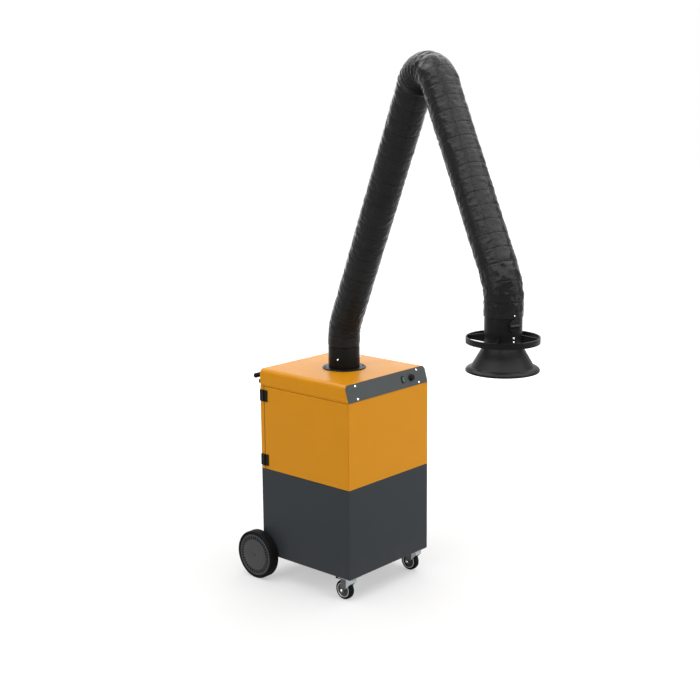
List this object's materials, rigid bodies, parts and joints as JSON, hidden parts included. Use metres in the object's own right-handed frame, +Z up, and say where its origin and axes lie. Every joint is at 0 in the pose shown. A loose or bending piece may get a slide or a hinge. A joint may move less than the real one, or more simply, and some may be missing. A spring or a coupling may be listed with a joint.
{
  "type": "mobile fume extractor",
  "caption": "Wheeled welding fume extractor: an orange and grey filter cabinet with a swivelling, hose-covered jointed arm that ends in a flared hood.",
  "frame": {"origin": "on the floor at the centre of the bounding box of the whole machine with its arm as pictured", "axes": "+Z up, the control panel faces -Y and the filter door faces -X"},
  "size_m": [1.04, 1.9402, 2.642],
  "materials": {
    "orange_paint": "gloss powder coat",
    "grey_paint": "textured powder coat",
    "black_paint": "semi-gloss black coat",
    "hose_cloth": "coated black hose fabric",
    "bare_steel": "plain steel",
    "zinc_steel": "zinc-plated steel",
    "black_plastic": "moulded black plastic",
    "hub_plastic": "moulded dark grey plastic",
    "green_plastic": "translucent green rocker",
    "tyre_rubber": "solid black rubber",
    "seal_rubber": "foam rubber",
    "filter_media": "pleated filter medium",
    "cast_metal": "cast housing"
  },
  "bodies": {
    "cabinet": {"base_shell": "grey_paint", "upper_shell": "orange_paint", "cap": "orange_paint", "control_panel": "grey_paint", "switch_housing": "black_plastic", "hinge_upper_fixed_leaf": "black_plastic", "hinge_lower_fixed_leaf": "black_plastic", "fan_deck": "zinc_steel", "filter_seat": "seal_rubber", "main_filter": "filter_media", "pre_filter": "bare_steel", "fan_motor": "cast_metal", "motor_pedestal": "zinc_steel", "exhaust_grille": "grey_paint", "cable_gland": "black_plastic", "push_handle": "black_paint", "rear_axle": "zinc_steel", "axle_bracket_left": "grey_paint", "axle_bracket_right": "grey_paint", "caster_plate_left": "zinc_steel", "caster_plate_right": "zinc_steel", "swivel_flange": "black_paint"},
    "door": {"door": "orange_paint", "door_seal": "seal_rubber", "hinge_upper_door_leaf": "black_plastic", "hinge_lower_door_leaf": "black_plastic"},
    "fan": {"fan_impeller": "cast_metal"},
    "rocker": {"switch_rocker": "green_plastic"},
    "selector": {"selector_knob": "black_plastic"},
    "arm_base": {"arm_collar": "black_paint", "shoulder_yoke": "bare_steel", "shoulder_bolt": "zinc_steel", "hose_base_bend": "hose_cloth"},
    "lower_arm": {"lower_arm_link": "bare_steel", "hose_lower": "hose_cloth", "elbow_bolt": "zinc_steel", "hose_elbow": "hose_cloth"},
    "upper_arm": {"upper_arm_link": "bare_steel", "hose_upper": "hose_cloth", "hood_bolt": "zinc_steel", "hose_hood_bend": "hose_cloth"},
    "hood_joint": {"hood_yoke": "zinc_steel"},
    "hood": {"hood_neck": "black_paint", "hood_cone": "black_paint", "ring_handle": "black_paint"},
    "damper": {"damper_blade": "bare_steel", "damper_shaft": "zinc_steel", "damper_knob": "black_plastic"},
    "caster_left": {"caster_fork_left": "zinc_steel"},
    "caster_left_wheel": {"caster_wheel_left": "hub_plastic", "caster_tyre_left": "tyre_rubber"},
    "caster_left_brake": {"caster_brake_left": "black_plastic"},
    "rear_wheel_left": {"rear_hub_left": "hub_plastic", "rear_tyre_left": "tyre_rubber"},
    "caster_right": {"caster_fork_right": "zinc_steel"},
    "caster_right_wheel": {"caster_wheel_right": "hub_plastic", "caster_tyre_right": "tyre_rubber"},
    "caster_right_brake": {"caster_brake_right": "black_plastic"},
    "rear_wheel_right": {"rear_hub_right": "hub_plastic", "rear_tyre_right": "tyre_rubber"}
  },
  "joints": [
    {"name": "arm_swivel", "type": "hinge", "parent": "cabinet", "child": "arm_base", "pos_m": [0.16301, 0.53309, 1.102], "axis": [0, 0, 1], "continuous": true},
    {"name": "shoulder", "type": "hinge", "parent": "arm_base", "child": "lower_arm", "pos_m": [0.16301, 0.53309, 1.303], "axis": [0.9304, -0.3665, 0], "range_deg": [-25, 40], "deforming": ["hose_base_bend"]},
    {"name": "elbow", "type": "hinge", "parent": "lower_arm", "child": "upper_arm", "pos_m": [-0.14385, -0.24591, 2.5599], "axis": [0.9304, -0.3665, 0], "range_deg": [-85, 28], "deforming": ["hose_elbow"]},
    {"name": "hood_tilt", "type": "hinge", "parent": "upper_arm", "child": "hood_joint", "pos_m": [-0.37003, -0.82012, 1.71937], "axis": [0.9304, -0.3665, 0], "range_deg": [-70, 70], "deforming": ["hose_hood_bend"]},
    {"name": "hood_swivel", "type": "hinge", "parent": "hood_joint", "child": "hood", "pos_m": [-0.37003, -0.82012, 1.50237], "axis": [0, 0, 1], "continuous": true},
    {"name": "damper_turn", "type": "hinge", "parent": "hood", "child": "damper", "pos_m": [-0.37003, -0.82012, 1.57337], "axis": [-0.3665, -0.9304, 0], "range_deg": [0, 90]},
    {"name": "door_hinge", "type": "hinge", "parent": "cabinet", "child": "door", "pos_m": [-0.14279, 0.80709, 0.8], "axis": [0, 0, -1], "range_deg": [0, 120]},
    {"name": "fan_spin", "type": "hinge", "parent": "cabinet", "child": "fan", "pos_m": [0.16301, 0.53309, 0.48], "axis": [0, 0, 1], "continuous": true},
    {"name": "rocker_tilt", "type": "hinge", "parent": "cabinet", "child": "rocker", "pos_m": [0.27901, 0.24321, 1.05996], "axis": [1, 0, 0], "range_deg": [-8, 8]},
    {"name": "selector_turn", "type": "hinge", "parent": "cabinet", "child": "selector", "pos_m": [0.34001, 0.24321, 1.05996], "axis": [0, -0.9568, 0.2907], "range_deg": [-135, 135]},
    {"name": "caster_swivel_left", "type": "hinge", "parent": "cabinet", "child": "caster_left", "pos_m": [-0.08999, 0.27609, 0.11], "axis": [0, 0, 1], "continuous": true},
    {"name": "caster_roll_left", "type": "hinge", "parent": "caster_left", "child": "caster_left_wheel", "pos_m": [-0.08999, 0.30809, 0.05], "axis": [1, 0, 0], "continuous": true},
    {"name": "caster_brake_turn_left", "type": "hinge", "parent": "caster_left", "child": "caster_left_brake", "pos_m": [-0.08999, 0.31009, 0.1064], "axis": [-1, 0, 0], "range_deg": [0, 9]},
    {"name": "rear_roll_left", "type": "hinge", "parent": "cabinet", "child": "rear_wheel_left", "pos_m": [-0.16699, 0.84509, 0.125], "axis": [1, 0, 0], "continuous": true},
    {"name": "caster_swivel_right", "type": "hinge", "parent": "cabinet", "child": "caster_right", "pos_m": [0.41601, 0.27609, 0.11], "axis": [0, 0, 1], "continuous": true},
    {"name": "caster_roll_right", "type": "hinge", "parent": "caster_right", "child": "caster_right_wheel", "pos_m": [0.41601, 0.30809, 0.05], "axis": [1, 0, 0], "continuous": true},
    {"name": "caster_brake_turn_right", "type": "hinge", "parent": "caster_right", "child": "caster_right_brake", "pos_m": [0.41601, 0.31009, 0.1064], "axis": [-1, 0, 0], "range_deg": [0, 9]},
    {"name": "rear_roll_right", "type": "hinge", "parent": "cabinet", "child": "rear_wheel_right", "pos_m": [0.49301, 0.84509, 0.125], "axis": [1, 0, 0], "continuous": true}
  ]
}
